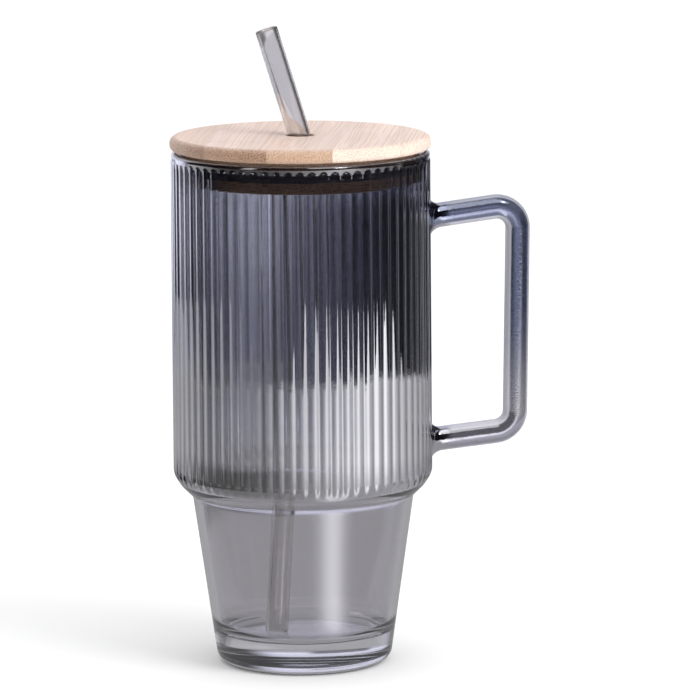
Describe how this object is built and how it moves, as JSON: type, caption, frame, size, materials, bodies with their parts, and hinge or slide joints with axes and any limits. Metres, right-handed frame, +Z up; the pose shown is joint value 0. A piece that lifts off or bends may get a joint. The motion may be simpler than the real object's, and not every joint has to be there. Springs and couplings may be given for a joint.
{
  "type": "glass mug with lid and straw",
  "caption": "Tall smoked glass mug: fluted barrel on a narrow tapered foot, looped glass handle, lift-off bamboo lid with seal ring, and a bent glass straw through its centre.",
  "frame": {"origin": "centre of the mug's flat underside, on the table", "axes": "+Z up along the mug's axis, +X towards the handle"},
  "size_m": [0.1286, 0.0926, 0.2279],
  "materials": {
    "smoked_glass": "smoke-grey glass with a thin half-mirror coat",
    "straw_glass": "clear grey borosilicate tube, fire-polished",
    "bamboo": "pale bamboo, sanded and oiled",
    "plug_bamboo": "bamboo, turned",
    "seal_silicone": "dark grey silicone, matt"
  },
  "bodies": {
    "mug": {"glass_body": "smoked_glass", "glass_handle": "smoked_glass"},
    "lid": {"lid_strip_1": "bamboo", "lid_strip_2": "bamboo", "lid_strip_3": "bamboo", "lid_strip_4": "bamboo", "lid_strip_5": "bamboo", "lid_plug": "plug_bamboo", "seal_ring": "seal_silicone"},
    "straw": {"straw": "straw_glass"}
  },
  "joints": [
    {"name": "lid_lift", "type": "slide", "parent": "mug", "child": "lid", "axis": [0, 0, 1], "range_m": [0, 0.185]},
    {"name": "straw_pull", "type": "slide", "parent": "lid", "child": "straw", "axis": [0.0628, 0.0377, 0.9973], "range_m": [0, 0.185]}
  ]
}
